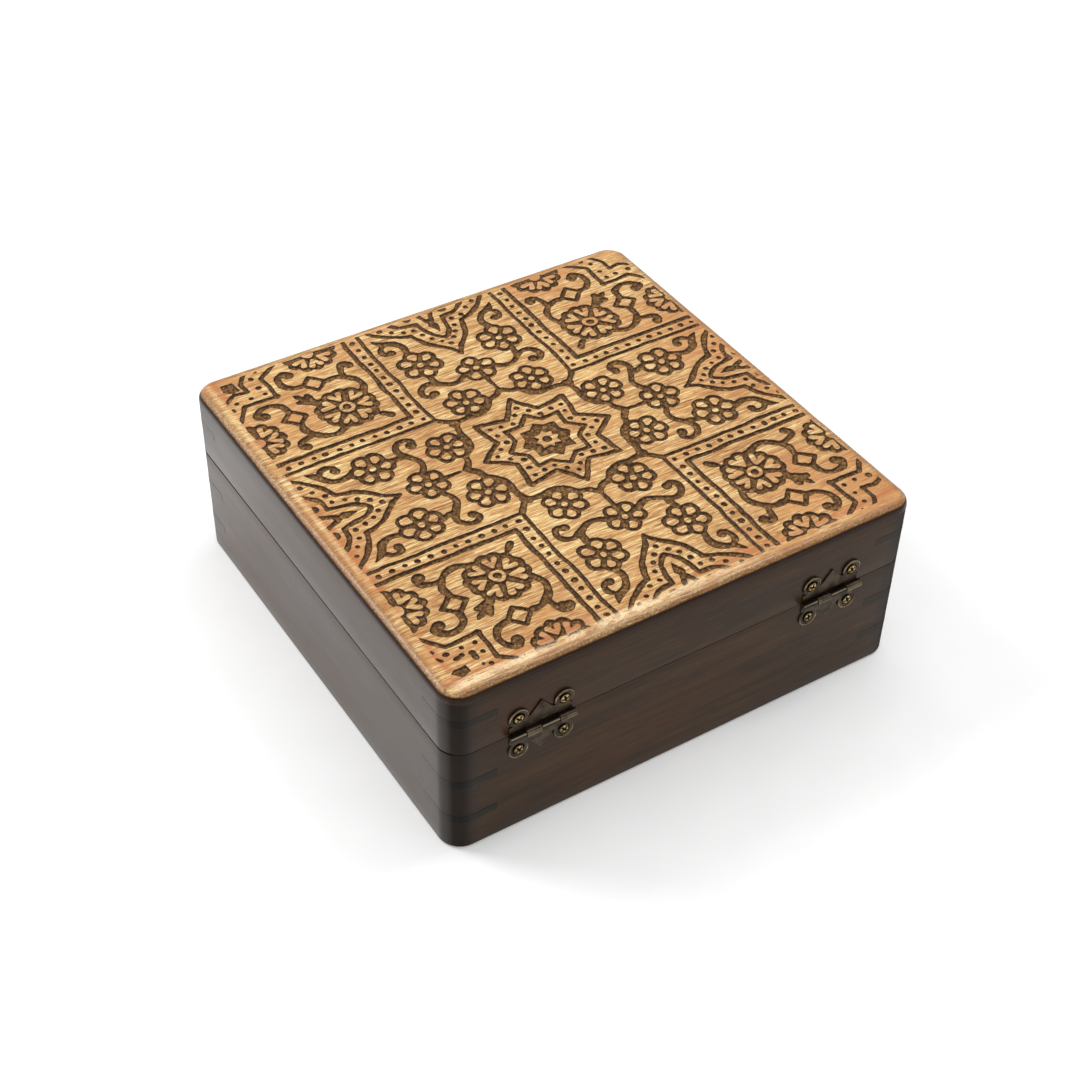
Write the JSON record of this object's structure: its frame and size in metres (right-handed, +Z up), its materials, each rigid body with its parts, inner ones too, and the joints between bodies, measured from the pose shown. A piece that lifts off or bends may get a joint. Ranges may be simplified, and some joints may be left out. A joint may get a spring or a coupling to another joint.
{
  "type": "carved wooden box",
  "caption": "Square wooden keepsake box with a hinged lid, a carved geometric and floral top board, keyed mitred corners and butterfly hinges on the back.",
  "frame": {"origin": "centre of the wooden box's flat underside", "axes": "+Z up, +Y towards the hinged back, -Y towards the front, +X to the right when facing the front"},
  "size_m": [0.2, 0.2032, 0.077],
  "materials": {
    "dark_wood": "dark stained wood with a satin wax finish",
    "inner_wood": "dark stained bottom board",
    "key_wood": "darker stained key of another timber",
    "carved_wood": "golden stained board with darkened carved grooves",
    "bronze": "antique bronze, worn on the raised rims",
    "screw_brass": "aged brass screw heads"
  },
  "bodies": {
    "base": {"base_front_wall": "dark_wood", "base_back_wall": "dark_wood", "base_left_wall": "dark_wood", "base_right_wall": "dark_wood", "base_bottom_board": "inner_wood", "base_keys_front_left": "key_wood", "base_keys_front_right": "key_wood", "base_keys_back_left": "key_wood", "base_keys_back_right": "key_wood", "hinge_left_base_leaf": "bronze", "hinge_left_pin": "bronze", "hinge_left_base_screws": "screw_brass", "hinge_right_base_leaf": "bronze", "hinge_right_pin": "bronze", "hinge_right_base_screws": "screw_brass"},
    "lid": {"lid_front_wall": "dark_wood", "lid_back_wall": "dark_wood", "lid_left_wall": "dark_wood", "lid_right_wall": "dark_wood", "lid_top_board": "carved_wood", "lid_key_front_left": "key_wood", "lid_key_front_right": "key_wood", "lid_key_back_left": "key_wood", "lid_key_back_right": "key_wood", "hinge_left_lid_leaf": "bronze", "hinge_left_lid_screws": "screw_brass", "hinge_right_lid_leaf": "bronze", "hinge_right_lid_screws": "screw_brass"}
  },
  "joints": [
    {"name": "lid_hinge", "type": "hinge", "parent": "base", "child": "lid", "pos_m": [0, 0.10175, 0.0484], "axis": [-1, 0, 0], "range_deg": [0, 180]}
  ]
}
